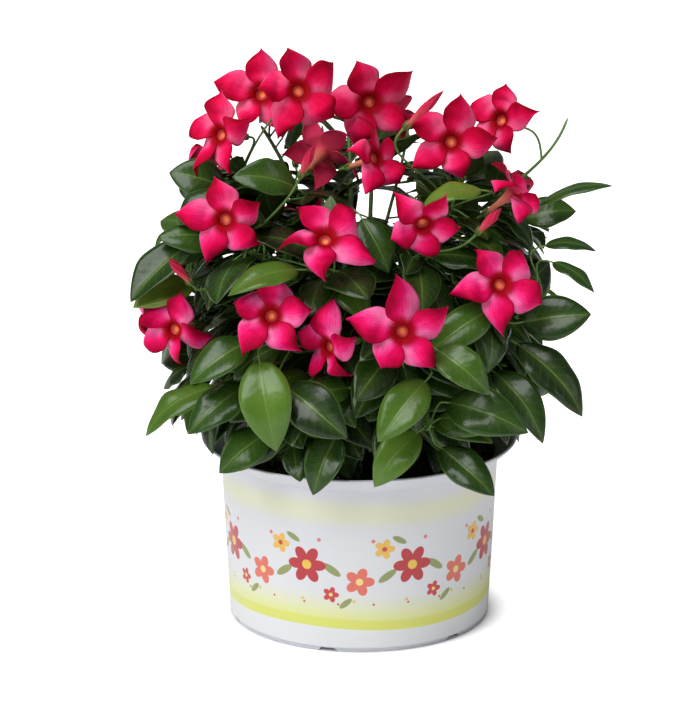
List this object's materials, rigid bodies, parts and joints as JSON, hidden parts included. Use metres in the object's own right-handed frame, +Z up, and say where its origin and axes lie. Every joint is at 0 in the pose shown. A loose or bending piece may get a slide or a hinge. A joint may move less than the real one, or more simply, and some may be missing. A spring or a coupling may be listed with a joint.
{
  "type": "potted mandevilla",
  "caption": "Bushy mandevilla with pinwheel blooms on slender tubes and opposite pointed leaves, rooted in a tapered round pot with a flared lip, for resting on a floor or bench.",
  "frame": {"origin": "on the ground under the middle of the pot's foot", "axes": "+Z up, -Y towards the side of the plant that the picture shows, +X to the viewer's right"},
  "size_m": [0.4312, 0.3912, 0.5349],
  "materials": {
    "white_plastic": "smooth glossy white plastic with printed colour bands",
    "potting_soil": null,
    "leaf_green": null,
    "petal_pink": null,
    "bud_pink": null
  },
  "bodies": {
    "root": {"pot": "white_plastic", "soil": "potting_soil", "leafy_stem_01": "leaf_green", "leafy_stem_02": "leaf_green", "leafy_stem_03": "leaf_green", "leafy_stem_04": "leaf_green", "leafy_stem_05": "leaf_green", "leafy_stem_06": "leaf_green", "leafy_stem_07": "leaf_green", "leafy_stem_08": "leaf_green", "leafy_stem_09": "leaf_green", "leafy_stem_10": "leaf_green", "leafy_stem_11": "leaf_green", "leafy_stem_12": "leaf_green", "leafy_stem_13": "leaf_green", "leafy_stem_14": "leaf_green", "leafy_stem_15": "leaf_green", "leafy_stem_16": "leaf_green", "leafy_stem_17": "leaf_green", "bloom_01": "petal_pink", "bloom_02": "petal_pink", "bloom_03": "petal_pink", "bloom_04": "petal_pink", "bloom_05": "petal_pink", "bloom_06": "petal_pink", "bloom_07": "petal_pink", "bloom_08": "petal_pink", "bloom_09": "petal_pink", "bloom_10": "petal_pink", "bloom_11": "petal_pink", "bloom_12": "petal_pink", "bloom_13": "petal_pink", "bloom_14": "petal_pink", "bloom_15": "petal_pink", "bloom_16": "petal_pink", "bloom_17": "petal_pink", "bloom_18": "petal_pink", "bloom_19": "petal_pink", "bloom_20": "petal_pink", "bloom_21": "petal_pink", "bloom_22": "petal_pink", "bloom_23": "petal_pink", "bloom_24": "petal_pink", "bud_1": "bud_pink", "bud_2": "bud_pink", "bud_3": "bud_pink", "bud_4": "bud_pink", "bud_5": "bud_pink", "bud_6": "bud_pink"}
  },
  "joints": []
}
